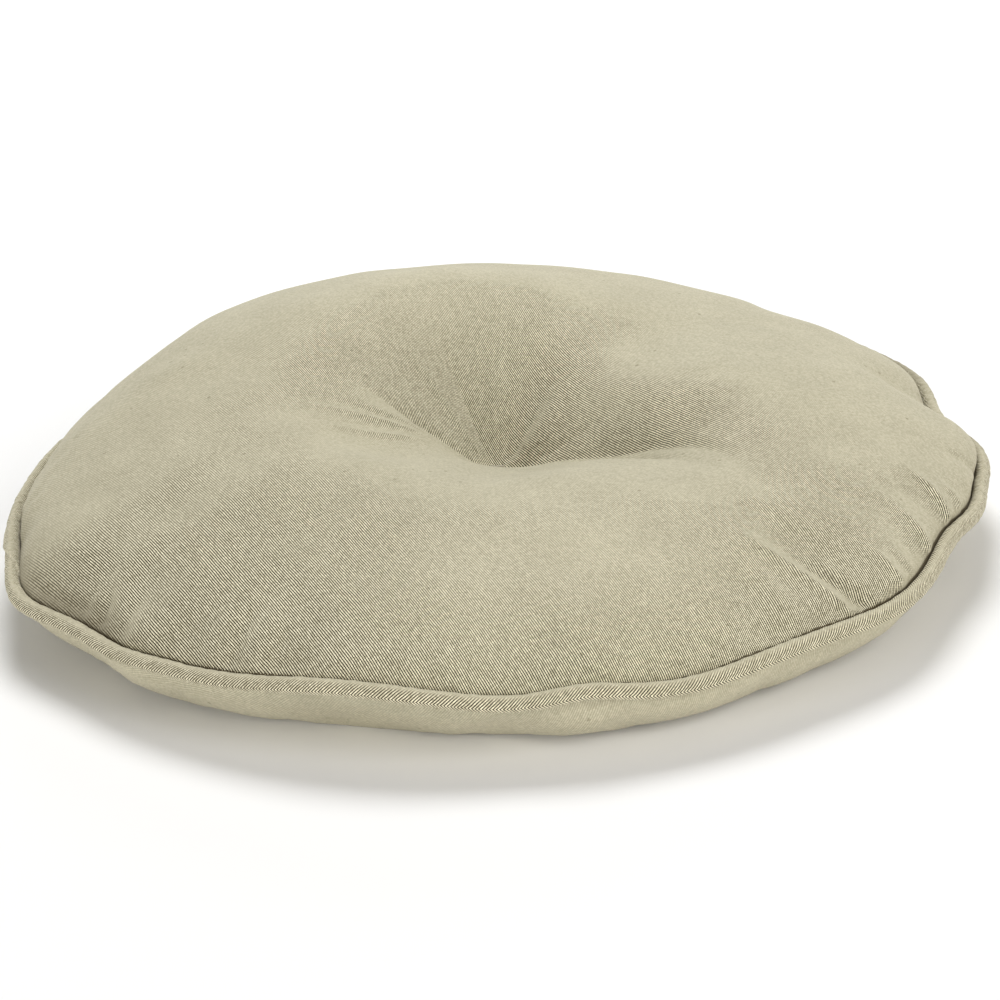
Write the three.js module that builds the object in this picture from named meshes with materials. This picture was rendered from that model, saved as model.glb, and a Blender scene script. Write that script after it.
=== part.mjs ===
// Round knife-edge seat cushion: a filled pad of two round panels, a covered cord sewn into the
// seam between them, and one tuft that draws the top panel down in the middle.
// Millimetres, +Z up. The pad lies on its under panel; bearings are degrees counter-clockwise from +X.

import * as THREE from 'three';

// Driving dimensions
const seamRadius = 200; // the cord's centre line
const weltRadius = 3.2; // cord and its cover together
const seamGap = 0.3; // free space between the cord's cover and the pad
const seamHeight = 26.5; // the cord's centre above the surface below
const crownRise = 55; // top panel above the seam, before the tuft pulls it down
const crownFullness = 2.4; // a higher value keeps the crown level further out
const crownShoulder = 0.6; // a lower value makes the side next to the seam steeper
const tuftDraw = 60; // how far the thread pulls the top panel down
const tuftReach = 110; // how far from the middle that pull is felt
const tuftMouth = 7; // rounding where the thread goes in
const tuftSteepness = 2.4;
const restRadius = 170; // the under panel lies flat inside this
const underDimple = 6; // the thread's pull on the under panel
const underDimpleReach = 46;

const padRadius = seamRadius - weltRadius - seamGap;

// Where each effect starts and ends
const topFollow = 0.7; // share of padRadius where the top panel starts to follow the seam's wander
const seamBand = 0.97; // from this share out the top panel moves with the seam
const puckerEnd = 0.985; // share of padRadius where the puckers start to close
const underFollow = 0.9; // share of the seam's height where the under panel moves with it
const swellStart = 20; // the swells grow from this radius
const swellFull = 80; // and are whole at this one
const puckerRun = 28; // length over which a pucker sinks to its depth
const foldFull = 12; // the tuft's folds grow from the middle to this radius
const foldCore = 30; // inside about this radius the folds narrow towards the thread
const slopeStep = 0.5; // distance over which the crown's slope is read

// Resolution
const turnSteps = 120;
const crownRings = 27;
const underRings = 7;
const dimpleRings = 4;
const weltSides = 10;

// How the seam wanders from a true circle: out is radial, lift is upward, belly is the under
// panel's own bulge between the seam and the surface it lies on
const seamWaves = [
  { at: 151, width: 9, out: -4, lift: -1, belly: 0 },
  { at: 169, width: 15, out: -4, lift: 0, belly: 0 },
  { at: -156, width: 8, out: 7, lift: -1, belly: 2 },
  { at: -137, width: 5, out: 1, lift: -1, belly: 2 },
  { at: -108, width: 12, out: -1, lift: 5, belly: -11 },
  { at: -91, width: 5, out: 0, lift: -1, belly: -3 },
  { at: -82, width: 4, out: 0, lift: 2, belly: 3 },
  { at: -71, width: 8, out: 2, lift: -2, belly: 3 },
  { at: -44, width: 8, out: 3, lift: -1, belly: 1 },
  { at: -27, width: 7, out: -4, lift: 2, belly: -2 },
  { at: -12, width: 6, out: -2, lift: -1, belly: -3 },
  { at: 10, width: 9, out: -9, lift: -2, belly: 0 },
  { at: 29, width: 7, out: 2, lift: -2, belly: 0 },
  { at: 62, width: 12, out: -2, lift: 2, belly: -1 },
  { at: 96, width: 11, out: 2, lift: -1, belly: 2 },
  { at: 131, width: 10, out: -2, lift: 1, belly: 0 },
];

// Fullness of the filling under the top panel, by bearing
const crownSwells = [
  { at: 136, width: 36, rise: 13 },
  { at: 90, width: 26, rise: 4 },
  { at: 34, width: 30, rise: -10 },
  { at: -80, width: 60, rise: -12 },
];

// Puckers where the top panel is eased into the seam: each starts at inner and runs out to it
const puckers = [
  { at: -168, width: 3.5, depth: 1.6, inner: 172 },
  { at: -146, width: 4, depth: 3.5, inner: 168 },
  { at: -139, width: 3.5, depth: 2.5, inner: 160 },
  { at: -128, width: 3.5, depth: 2, inner: 150 },
  { at: -121, width: 3.5, depth: 2.4, inner: 145 },
  { at: -114, width: 4, depth: 1.8, inner: 150 },
  { at: -87, width: 5, depth: 1.2, inner: 160 },
  { at: -60, width: 3.5, depth: 1.8, inner: 145 },
  { at: -49, width: 4, depth: 3, inner: 135 },
  { at: -35, width: 3.5, depth: 2, inner: 165 },
  { at: -27, width: 3.5, depth: 2.4, inner: 168 },
  { at: -18, width: 3.5, depth: 2, inner: 170 },
  { at: 12, width: 5, depth: 1.6, inner: 160 },
  { at: 45, width: 5, depth: 2.2, inner: 150 },
  { at: 78, width: 5, depth: 2, inner: 150 },
  { at: 112, width: 5, depth: 2.4, inner: 145 },
  { at: 148, width: 5, depth: 2, inner: 155 },
];

// Folds that run from the tuft: a positive rise is a ridge, a negative one a trough. Width is
// across the fold in millimetres, bend is in degrees for each millimetre out, and a lower power
// makes a fold sharper.
const tuftFolds = [
  { at: 95, bend: 0, width: 50, power: 2, rise: 5, middle: 78, spread: 30 },
  { at: 174, bend: 0, width: 7, power: 1.3, rise: -4, middle: 28, spread: 18 },
  { at: -174, bend: 0, width: 4, power: 2, rise: 1.6, middle: 30, spread: 18 },
  { at: -140, bend: 0, width: 30, power: 2, rise: -9, middle: 54, spread: 26 },
  { at: -95, bend: 0, width: 30, power: 2, rise: -3.5, middle: 62, spread: 24 },
  { at: -55, bend: 0, width: 42, power: 2, rise: -12, middle: 42, spread: 26 },
  { at: -45, bend: 0, width: 36, power: 2, rise: -6, middle: 92, spread: 34 },
  { at: -6, bend: -0.265, width: 24, power: 1.2, rise: -16, middle: 60, spread: 46 },
  { at: 76, bend: 0, width: 9, power: 2, rise: 1.6, middle: 34, spread: 20 },
];

const smoothstep = THREE.MathUtils.smoothstep;

// Degrees from one bearing to another, between -180 and 180
function turnFrom(start, bearing) {
  return (((bearing - start) % 360) + 540) % 360 - 180;
}

// 1 on a row's own bearing, fading away to either side over its width
function nearness(bearing, row) {
  return Math.exp(-((turnFrom(row.at, bearing) / row.width) ** 2));
}

// A column of a table, added up at one bearing
function sumAt(bearing, rows, column) {
  return rows.reduce((sum, row) => sum + row[column] * nearness(bearing, row), 0);
}

// 1 in the middle and 0 at the seam
function dome(radius) {
  return Math.max(0, 1 - (radius / padRadius) ** crownFullness) ** crownShoulder;
}

// Height of the top panel above the seam
function crownHeight(radius) {
  const fromTuft = Math.min(1, Math.hypot(radius, tuftMouth) / tuftReach);
  return crownRise * dome(radius) - tuftDraw * (1 - fromTuft) ** tuftSteepness;
}

// Share of a fold's rise at one place
function foldShape(radius, bearing, row) {
  const away = THREE.MathUtils.degToRad(turnFrom(row.at + row.bend * radius, bearing));
  const across = Math.abs(away * Math.hypot(radius, foldCore)) / row.width;
  const along = (radius - row.middle) / row.spread;
  return Math.exp(-(across ** row.power) - along ** 2) * smoothstep(radius, 0, foldFull);
}

// Outline of the pad from its lower middle round the seam to its upper middle
function padProfile() {
  const points = [];
  for (let ring = 0; ring < dimpleRings; ring += 1) {
    const share = ring / dimpleRings;
    points.push(new THREE.Vector2(share * underDimpleReach, underDimple * (1 - share ** 2) ** 2));
  }
  points.push(new THREE.Vector2(underDimpleReach, 0));
  for (let ring = 0; ring < underRings; ring += 1) {
    const turn = (ring / underRings) * (Math.PI / 2);
    const radius = restRadius + (padRadius - restRadius) * Math.sin(turn);
    points.push(new THREE.Vector2(radius, seamHeight * (1 - Math.cos(turn))));
  }
  for (let ring = 0; ring < crownRings; ring += 1) {
    const radius = padRadius * Math.cos((ring / crownRings) * (Math.PI / 2));
    points.push(new THREE.Vector2(radius, seamHeight + crownHeight(radius)));
  }
  points.push(new THREE.Vector2(0, seamHeight + crownHeight(0)));
  return points;
}

// Moves each point of a geometry by a function of its radius, bearing and height
function reshape(geometry, move) {
  const place = geometry.attributes.position;
  for (let index = 0; index < place.count; index += 1) {
    const bearing = THREE.MathUtils.radToDeg(Math.atan2(place.getY(index), place.getX(index)));
    const radius = Math.hypot(place.getX(index), place.getY(index));
    const next = move(radius, bearing, place.getZ(index));
    const turn = THREE.MathUtils.degToRad(bearing);
    place.setXYZ(index, next.radius * Math.cos(turn), next.radius * Math.sin(turn), next.height);
  }
  return geometry;
}

// The seam's own wander, which carries the cord and the edges of both panels
function moveWithSeam(radius, bearing, height, share) {
  return {
    radius: radius + share * sumAt(bearing, seamWaves, 'out'),
    height: height + share * sumAt(bearing, seamWaves, 'lift'),
  };
}

function moveUnderPanel(radius, bearing, height) {
  const climb = Math.max(0, height) / seamHeight;
  const next = moveWithSeam(radius, bearing, height, smoothstep(climb, 0, underFollow));
  next.radius += Math.sin(Math.PI * Math.sqrt(climb)) * sumAt(bearing, seamWaves, 'belly');
  return next;
}

// Angle of the top panel's outline from level, in radians
function crownSlope(radius) {
  const inner = Math.max(0, radius - slopeStep);
  const outer = radius + slopeStep;
  return Math.atan((crownHeight(outer) - crownHeight(inner)) / (outer - inner));
}

function moveTopPanel(radius, bearing, height) {
  const out = radius / padRadius;
  const next = moveWithSeam(radius, bearing, height, smoothstep(out, topFollow, seamBand));

  const swell = smoothstep(radius, swellStart, swellFull) * dome(radius);
  next.height += sumAt(bearing, crownSwells, 'rise') * swell;

  const slope = crownSlope(radius);
  puckers.forEach((row) => {
    const sinking = smoothstep(radius, row.inner, row.inner + puckerRun);
    const sunk = row.depth * nearness(bearing, row) * sinking * (1 - smoothstep(out, puckerEnd, 1));
    next.radius += sunk * Math.sin(slope);
    next.height -= sunk * Math.cos(slope);
  });

  tuftFolds.forEach((row) => {
    next.height += row.rise * foldShape(radius, bearing, row);
  });
  return next;
}

function cloth(colour) {
  return new THREE.MeshStandardMaterial({ color: colour, roughness: 0.95, metalness: 0 });
}

// The filled pad: both panels as one closed body
function makePad() {
  const geometry = new THREE.LatheGeometry(padProfile(), turnSteps);
  geometry.rotateX(Math.PI / 2);
  reshape(geometry, (radius, bearing, height) => {
    if (radius <= restRadius && height <= underDimple) return { radius, height };
    if (radius > restRadius && height < seamHeight) return moveUnderPanel(radius, bearing, height);
    return moveTopPanel(radius, bearing, height);
  });
  const pad = new THREE.Mesh(geometry, cloth(0xb9b294));
  pad.name = 'cushion';
  return pad;
}

// The covered cord, all the way round in the seam
function makeWelt() {
  const geometry = new THREE.TorusGeometry(seamRadius, weltRadius, weltSides, turnSteps);
  geometry.translate(0, 0, seamHeight);
  reshape(geometry, (radius, bearing, height) => moveWithSeam(radius, bearing, height, 1));
  const welt = new THREE.Mesh(geometry, cloth(0xada68a));
  welt.name = 'welt';
  return welt;
}

const cushion = new THREE.Group();
cushion.add(makePad(), makeWelt());

// The origin goes to the middle of the cushion's outer size, on the surface below
const size = new THREE.Box3().setFromObject(cushion);
const middle = size.getCenter(new THREE.Vector3());
cushion.position.set(-middle.x, -middle.y, -size.min.z);

export default cushion;
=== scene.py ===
# Round seat cushion: a filled pad drawn down by one tuft, with a covered cord in its seam.
# The scene is in metres with +Z up. The pieces' own tables are in millimetres, and their
# bearings are in degrees, counter-clockwise from +X.

import math

import bpy
import numpy as np
from mathutils import Matrix, Vector, noise


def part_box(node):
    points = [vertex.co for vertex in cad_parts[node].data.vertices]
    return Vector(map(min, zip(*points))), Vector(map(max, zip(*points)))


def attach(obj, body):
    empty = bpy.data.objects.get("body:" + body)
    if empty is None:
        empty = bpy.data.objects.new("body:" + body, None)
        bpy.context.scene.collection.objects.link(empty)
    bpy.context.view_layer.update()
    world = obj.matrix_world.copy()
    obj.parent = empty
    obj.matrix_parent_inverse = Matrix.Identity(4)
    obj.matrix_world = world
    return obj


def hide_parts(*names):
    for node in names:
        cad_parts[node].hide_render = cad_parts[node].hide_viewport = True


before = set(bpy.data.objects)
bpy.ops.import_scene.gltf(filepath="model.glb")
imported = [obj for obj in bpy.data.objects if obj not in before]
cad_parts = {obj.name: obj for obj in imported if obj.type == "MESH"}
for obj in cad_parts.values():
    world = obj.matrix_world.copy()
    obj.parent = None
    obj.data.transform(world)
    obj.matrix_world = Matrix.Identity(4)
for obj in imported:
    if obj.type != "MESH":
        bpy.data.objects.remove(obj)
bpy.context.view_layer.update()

scene = bpy.context.scene
millimetre = 0.001
tiny = 0.001  # keeps a length that is divided by away from 0, in millimetres
farFromSeam = 99  # past the reach of any line at the seam, in millimetres


# Small helpers for shapes

def ease(value, low, high):
    share = np.clip((value - low) / (high - low), 0, 1)
    return share * share * (3 - 2 * share)


def turnFrom(start, bearing):  # degrees from one bearing to another, between -180 and 180
    return (bearing - start + 540) % 360 - 180


def hump(value, middle, spread):  # 1 at the middle, fading away over its spread
    return np.exp(-((value - middle) / spread) ** 2)


def nearness(bearing, row):  # 1 on a row's own bearing, fading away over its width
    return hump(turnFrom(row["at"], bearing), 0, row["width"])


def sumAt(bearing, rows, column):
    return sum(row[column] * nearness(bearing, row) for row in rows)


def table(names, *rows):  # rows of numbers under named columns
    return [dict(zip(names.split(), row)) for row in rows]


def pointsAt(out, up, bearing):
    angle = np.radians(bearing)
    return np.stack([out * np.cos(angle), out * np.sin(angle), up], -1)


def smoothMesh(name, points, faces):  # points are in millimetres
    mesh = bpy.data.meshes.new(name)
    mesh.from_pydata([tuple(point) for point in points.reshape(-1, 3) * millimetre], [], faces)
    mesh.polygons.foreach_set("use_smooth", np.ones(len(faces), bool))
    return mesh


# The seam that carries the cord and the edges of both panels

seam = {
    "radius": 200,
    "height": 26.5,
    "cordRadius": 3.2,  # cord and its cover together
    "press": 0.4,  # how far the cord is sewn into the pad's edge
    "shadeLineReach": 2.4,  # how far out of the seam its line of painted shade reaches
    "packedStep": 3,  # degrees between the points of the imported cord
    "waves": table(  # out is radial, lift is upward, belly is the under panel's own bulge
        "at width out lift belly",
        (151, 9, -4, -1, 0),
        (169, 15, -4, 0, 0),
        (-156, 8, 7, -1, 2),
        (-137, 5, 1, -1, 2),
        (-108, 12, -1, 5, -11),
        (-91, 5, 0, -1, -3),
        (-82, 4, 0, 2, 3),
        (-71, 8, 2, -2, 3),
        (-44, 8, 3, -1, 1),
        (-27, 7, -4, 2, -2),
        (-12, 6, -2, -1, -3),
        (10, 9, -9, -2, 0),
        (29, 7, 2, -2, 0),
        (62, 12, -2, 2, -1),
        (96, 11, 2, -1, 2),
        (131, 10, -2, 1, 0),
    ),
}
padRadius = seam["radius"] - seam["cordRadius"] + seam["press"]


def seamCentre():  # where the seam's centre lies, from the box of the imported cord
    bearings = np.arange(0, 360, seam["packedStep"])
    reach = seam["radius"] + seam["cordRadius"] + sumAt(bearings, seam["waves"], "out")
    x = reach * np.cos(np.radians(bearings))
    y = reach * np.sin(np.radians(bearings))
    low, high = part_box("welt")
    middle = (low + high) / 2 / millimetre
    return Vector((middle.x - (x.min() + x.max()) / 2, middle.y - (y.min() + y.max()) / 2, 0))


centre = seamCentre()
print("Seam centre, mm:", [round(value, 2) for value in centre])


# The pad: top panel and under panel in one closed mesh

pad = {
    "crownRise": 55,  # top panel above the seam, before the tuft pulls it down
    "crownFullness": 2.4,
    "crownShoulder": 0.6,
    "tuftDraw": 60,
    "tuftReach": 110,
    "tuftMouth": 7,
    "tuftSteepness": 2.4,
    "restRadius": 170,  # flat inside this
    "underDimple": 6,
    "underDimpleReach": 46,
    "turns": 630,
    "topRings": 121,
    "sideRings": 18,
    "flatRings": 8,
    "dimpleRings": 10,
    "swellRun": (20, 80),  # the filling's swells grow between these radii
    "followSeam": (0.7, 0.97),  # the top panel takes up the seam's waves between these shares out
    "underFollow": 0.9,  # the under panel has them from this share of the seam's height
    "bulgeRun": (0.9, 0.975),  # the bulge over the cord grows between these shares out
    "puckerRun": 28,
    "puckerEnd": 0.985,  # share out where puckers and bulge start to close
    "creaseEnd": 0.99,
    "foldFull": 12,  # the tuft's folds grow from the middle to this radius
    "foldCore": 30,  # and narrow towards the thread inside about this one
    "patternStep": 3,  # every third ring and column is enough to lay the pattern flat
    "patternRounds": 400,
    "patternCalm": 6,  # a higher value settles more slowly
    "underShade": 0.05,  # painted shade: how much the under panel is darkened towards the shade tone
    "smoothLit": table(  # the weave is hidden there and the cloth painted lighter, a painted highlight; middle and spread are millimetres from the tuft
        "at width amount middle spread",
        (-74, 24, 0.85, 150, 50),
        (-98, 14, 0.35, 150, 50),
        (-130, 34, 0.5, 66, 30),
        (-20, 26, 0.3, 150, 50),
        (112, 52, 0.75, 92, 34),
        (40, 30, 0.3, 100, 34),
        (4, 26, 0.35, 64, 30),
    ),
    "seamShadeReach": table(  # where the seam's line of painted shade is wider
        "at width more",
        (-170, 4, 0.9),
        (-156, 10, -0.7),
        (-123, 8, 0.5),
        (-100, 6, -0.8),
        (-62, 8, 0.3),
        (-34, 16, 1.2),
        (-8, 12, 1.2),
    ),
    "seamSideShade": table(  # painted shade beside the seam, over so many millimetres from it
        "at width dark reach",
        (-163, 9, 0.36, 12),
        (-150, 8, 0.6, 11),
        (-141, 5, 0.5, 10),
        (-121, 9, 0.14, 10),
    ),
    "bulges": table("at width more", (-24, 18, 3.4), (4, 16, 2.6), (-172, 9, 1.5)),  # over the cord
    "swells": table(
        "at width rise",
        (136, 36, 13),
        (90, 26, 4),
        (34, 30, -10),
        (-80, 60, -12),
    ),
    "puckers": table(  # where the top panel is eased into the seam
        "at width depth inner",
        (-168, 3.5, 1.6, 172),
        (-146, 4, 2.2, 172),
        (-139, 3.5, 1.2, 160),
        (-128, 3.5, 1.3, 150),
        (-121, 3.5, 1.8, 145),
        (-114, 4, 1.8, 150),
        (-87, 5, 1.2, 160),
        (-60, 3.5, 1.8, 145),
        (-49, 4, 3, 135),
        (-35, 3.5, 2, 165),
        (-27, 3.5, 2.4, 168),
        (-18, 3.5, 2, 170),
        (12, 5, 1.6, 160),
        (45, 5, 1.2, 150),
        (78, 5, 2, 150),
        (112, 5, 2.4, 145),
        (148, 5, 2, 155),
    ),
    "creases": table(  # sharper folds beside the seam: at is their bearing at the seam, bend is in
        # degrees for each millimetre out, width and rise are in millimetres
        "at bend width power rise inner full",
        (-153, 0, 20, 2, -3.6, 178, 192),
        (-144.6, 0, 2.6, 2, 0.5, 186, 193),
        (-142.2, 0.1, 2.6, 1.6, -1.7, 184, 193),
        (-138, 0, 3.5, 1.8, -0.8, 180, 190),
        (-133, 0, 3.4, 1.8, 0.3, 176, 188),
        (-124.6, 0, 3.4, 2, 0.6, 172, 186),
        (-121.8, 0, 2.2, 1.3, -1.5, 174, 186),
        (-119.2, 0, 3.2, 2, 0.9, 170, 186),
        (-116.4, 0, 2, 1.3, -1.3, 174, 186),
        (-53.6, 0.06, 5, 1.6, -1.2, 168, 184),
        (-49.5, 0.12, 2.6, 1.6, 1.9, 150, 176),
        (-47.2, 0.13, 2.6, 1.6, -1.3, 168, 186),
        (-45.4, 0.125, 3, 1.6, 0.9, 164, 184),
        (-41, 0, 2, 1.6, 1, 180, 190),
        (-39.2, 0, 2.2, 1.6, -0.5, 184, 192),
        (-32.6, -0.1, 2, 1.6, 1.1, 182, 191),
        (-30.8, -0.1, 2.4, 1.6, -0.5, 184, 192),
        (-25.5, -0.2, 1.9, 1.6, 1.3, 174, 186),
        (-23.6, -0.2, 2.2, 1.5, -0.5, 180, 188),
        (-21.6, -0.15, 1.8, 1.6, 1.1, 182, 190),
        (-19.8, -0.15, 2.2, 1.6, -0.3, 184, 191),
        (-10, 0.1, 2.6, 1.6, -0.9, 180, 190),
        (4, 0.1, 3, 1.5, -1.2, 176, 188),
        (9, -0.1, 2.6, 1.6, 0.9, 178, 188),
        (31, 0.1, 3, 1.5, -1, 172, 186),
        (57, -0.1, 3, 1.5, -1.1, 170, 186),
        (69, 0.1, 3, 1.6, 0.9, 176, 188),
        (86, 0, 3, 1.5, -1, 172, 186),
        (103, 0.1, 3, 1.5, -1.1, 174, 188),
        (121, -0.1, 3, 1.5, -1.1, 170, 186),
        (139, 0.1, 3, 1.6, 0.9, 176, 188),
        (158, -0.1, 3, 1.5, -1, 174, 188),
        (-174, 0, 3, 1.5, -0.8, 180, 190),
    ),
    "tuftFolds": table(  # in the same units; a lower power makes a fold sharper
        "at bend width power rise middle spread",
        (95, 0, 50, 2, 5, 78, 30),
        (174, 0, 7, 1.3, -4, 28, 18),
        (-174, 0, 4, 2, 1.6, 30, 18),
        (-166, 0, 2.6, 1.5, 0.9, 44, 20),
        (-155, 0, 2.6, 1.5, 0.9, 48, 24),
        (-140, 0, 30, 2, -9, 54, 26),
        (-95, 0, 30, 2, -4.5, 62, 24),
        (-55, 0, 42, 2, -9, 42, 26),
        (-45, 0, 36, 2, -6, 92, 34),
        (-6, -0.265, 24, 1.2, -16, 60, 46),
        (-12, -0.27, 12, 1.4, -6, 64, 36),
        (0, 0, 5, 1.3, -1.8, 30, 18),  # pleats in the tuft's far wall
        (10, 0.6, 9, 2, 2.2, 28, 20),
        (40, 0.3, 6, 1.6, -2, 26, 18),
        (62, 0, 5, 1.5, -1.6, 24, 17),
        (88, 0, 5, 1.6, 1.4, 28, 18),
        (114, 0, 4, 1.4, -1.6, 26, 17),
        (134, 0, 5, 1.6, 1.3, 30, 18),
    ),
}


def dome(radius):  # 1 in the middle, 0 at the seam
    return np.maximum(0, 1 - (radius / padRadius) ** pad["crownFullness"]) ** pad["crownShoulder"]


def crownHeight(radius):  # top panel above the seam, in millimetres
    fromTuft = np.minimum(1, np.hypot(radius, pad["tuftMouth"]) / pad["tuftReach"])
    return pad["crownRise"] * dome(radius) - pad["tuftDraw"] * (1 - fromTuft) ** pad["tuftSteepness"]


def crownSlope(radius, step=0.5):
    inner = np.maximum(0, radius - step)
    outer = radius + step
    return np.arctan((crownHeight(outer) - crownHeight(inner)) / (outer - inner))


def topPanel(radius, bearing):
    share = radius / padRadius
    withSeam = ease(share, *pad["followSeam"])
    puckerClosing = 1 - ease(share, pad["puckerEnd"], 1)
    creaseClosing = 1 - ease(share, pad["creaseEnd"], 1)
    out = radius + withSeam * sumAt(bearing, seam["waves"], "out")
    out = out + sumAt(bearing, pad["bulges"], "more") * ease(share, *pad["bulgeRun"]) * puckerClosing
    up = seam["height"] + crownHeight(radius) + withSeam * sumAt(bearing, seam["waves"], "lift")
    up = up + sumAt(bearing, pad["swells"], "rise") * ease(radius, *pad["swellRun"]) * dome(radius)
    slope = crownSlope(radius)
    for row in pad["puckers"]:
        sinking = ease(radius, row["inner"], row["inner"] + pad["puckerRun"]) * puckerClosing
        sunk = row["depth"] * nearness(bearing, row) * sinking
        out = out + sunk * np.sin(slope)
        up = up - sunk * np.cos(slope)
    for row in pad["creases"]:
        risen = row["rise"] * creaseShape(radius, bearing, row) * creaseClosing
        out = out - risen * np.sin(slope)
        up = up + risen * np.cos(slope)
    for row in pad["tuftFolds"]:
        up = up + row["rise"] * foldShape(radius, bearing, row)
    return out, up


def acrossFold(bearing, row, out, reach):  # 1 along the fold's line, which bends on its way out
    away = turnFrom(row["at"] + row["bend"] * out, bearing)
    return np.exp(-np.abs(np.radians(away) * reach / row["width"]) ** row["power"])


def creaseShape(radius, bearing, row):
    across = acrossFold(bearing, row, radius - padRadius, radius)
    return across * ease(radius, row["inner"], row["full"])


def foldShape(radius, bearing, row):
    across = acrossFold(bearing, row, radius, np.hypot(radius, pad["foldCore"]))
    return across * hump(radius, row["middle"], row["spread"]) * ease(radius, 0, pad["foldFull"])


def underPanel(radius, height, bearing):
    climb = height / seam["height"]
    edge = radius > pad["restRadius"]
    withSeam = ease(climb, 0, pad["underFollow"]) * edge
    belly = np.sin(math.pi * np.sqrt(climb)) * sumAt(bearing, seam["waves"], "belly") * edge
    out = radius + withSeam * sumAt(bearing, seam["waves"], "out") + belly
    return out, height + withSeam * sumAt(bearing, seam["waves"], "lift")


def underProfile(counts):  # radius and height from the middle out, in as many rings as counts says
    reach = pad["underDimpleReach"]
    inner = np.linspace(0, 1, counts["dimpleRings"], endpoint=False)
    turn = np.linspace(0, math.pi / 2, counts["sideRings"], endpoint=False)
    side = padRadius - pad["restRadius"]
    radius = np.concatenate([
        inner * reach,
        np.linspace(reach, pad["restRadius"], counts["flatRings"], endpoint=False),
        pad["restRadius"] + side * np.sin(turn),
    ])
    height = np.concatenate([
        pad["underDimple"] * (1 - inner ** 2) ** 2,
        np.zeros(counts["flatRings"]),
        seam["height"] * (1 - np.cos(turn)),
    ])
    return radius, height


def arcLength(radius, height):
    steps = np.hypot(np.diff(radius), np.diff(height))
    return np.concatenate([[0], np.cumsum(steps)])


def evenRadii(count, samples=4000):  # at even steps along the top panel's outline, from the seam in
    radius = np.linspace(0, padRadius, samples)
    arc = arcLength(radius, crownHeight(radius))
    return np.interp(np.linspace(arc[-1], 0, count), arc, radius)


def closeRadii(count):  # radii that lie closer together beside the seam and the tuft
    return padRadius * (1 + np.cos(np.linspace(0, math.pi, count))) / 2


def padGrid(counts, topRadius):
    # rows run from the under middle round the seam to the upper middle, columns round the pad
    bearing = np.arange(counts["turns"]) * 360 / counts["turns"]
    underRadius, underHeight = underProfile(counts)
    under = underPanel(underRadius[:, None], underHeight[:, None], bearing[None])
    top = topPanel(topRadius[:, None], bearing[None])
    out = np.concatenate([under[0], top[0]])
    up = np.concatenate([under[1], top[1]])
    underArc = arcLength(np.append(underRadius, padRadius), np.append(underHeight, seam["height"]))
    topArc = arcLength(topRadius[::-1], crownHeight(topRadius[::-1]))[::-1]
    return {
        "points": pointsAt(out, up, bearing),
        "seamRow": len(underRadius),
        "underArc": underArc,
        "topArc": topArc,
        # each row's place: 0 to 1 over the under panel and 1 to 2 over the top one
        "place": np.concatenate([underArc[:-1] / underArc[-1], 2 - topArc / topArc[0]]),
    }


def flatPattern(points):
    # the top panel laid flat, in millimetres: it starts from each column's own length and evens
    # out until the distances along the cloth are about those of the filled shape
    rings, turns = points.shape[:2]
    step = pad["patternStep"]
    coarse = points[::-step, ::step]
    start = spreadOut(coarse)
    flat = start.copy()
    links = []
    for ring, turn in ((1, 0), (0, 1), (1, 1), (1, -1)):
        away = np.roll(coarse, -turn, 1)[ring:] - coarse[:len(coarse) - ring]
        links.append((ring, turn, np.linalg.norm(away, axis=-1, keepdims=True)))
    for _ in range(pad["patternRounds"]):
        move = np.zeros_like(flat)
        for ring, turn, length in links:
            away = np.roll(flat, -turn, 1)[ring:] - flat[:len(flat) - ring]
            now = np.maximum(np.linalg.norm(away, axis=-1, keepdims=True), tiny)
            pull = away * (1 - length / now) / 2
            move[:len(flat) - ring] += pull
            move[ring:] -= np.roll(pull, turn, 1)
        flat += move / pad["patternCalm"]
    moved = throughRows(flat - start, np.arange(rings) / step)
    moved = throughColumns(moved, np.arange(turns) / step)
    print("Pattern evened out by, mm:", round(float(np.linalg.norm(moved, axis=-1).max()), 1))
    return (spreadOut(points[::-1]) + moved)[::-1]


def spreadOut(points):  # rings from the middle out, laid flat by each column's own length
    steps = np.linalg.norm(np.diff(points, axis=0), axis=-1)
    arc = np.concatenate([np.zeros((1, points.shape[1])), np.cumsum(steps, 0)])
    angle = np.arange(points.shape[1]) * 2 * math.pi / points.shape[1]
    return np.stack([arc * np.cos(angle), arc * np.sin(angle)], -1)


def throughRows(field, at, around=False):  # a smooth curve through the rows of a field
    start = np.floor(at).astype(int)
    part = (at - start)[:, None, None]
    rows = []
    for step in (-1, 0, 1, 2):
        row = start + step
        rows.append(field[row % len(field) if around else np.clip(row, 0, len(field) - 1)])
    a, b, c, d = rows
    bend = 2 * a - 5 * b + 4 * c - d + part * (3 * (b - c) + d - a)
    return b + part / 2 * (c - a + part * bend)


def throughColumns(field, at):  # the same through its columns, which run all the way round
    return throughRows(field.swapaxes(0, 1), at, around=True).swapaxes(0, 1)


def closedMesh(name, grid):
    # a closed mesh from a grid of rings, whose first and last rings are single points
    points = grid["points"]
    rings, turns = points.shape[:2]
    vertices = np.concatenate([points[:1, 0], points[1:-1].reshape(-1, 3), points[-1:, 0]])
    faces = []
    corners = []
    for ring in range(rings - 1):
        for turn in range(turns):
            quad = [(ring, turn), (ring, turn + 1), (ring + 1, turn + 1), (ring + 1, turn)]
            if ring == 0:
                quad = quad[1:]
            elif ring == rings - 2:
                quad = quad[:3]
            faces.append([vertexAt(corner, rings, turns) for corner in quad])
            corners += [(*corner, ring < grid["seamRow"]) for corner in quad]
    mesh = smoothMesh(name, vertices, faces)
    addPanelMaps(mesh, grid, *np.array(corners).T)
    return mesh


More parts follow.
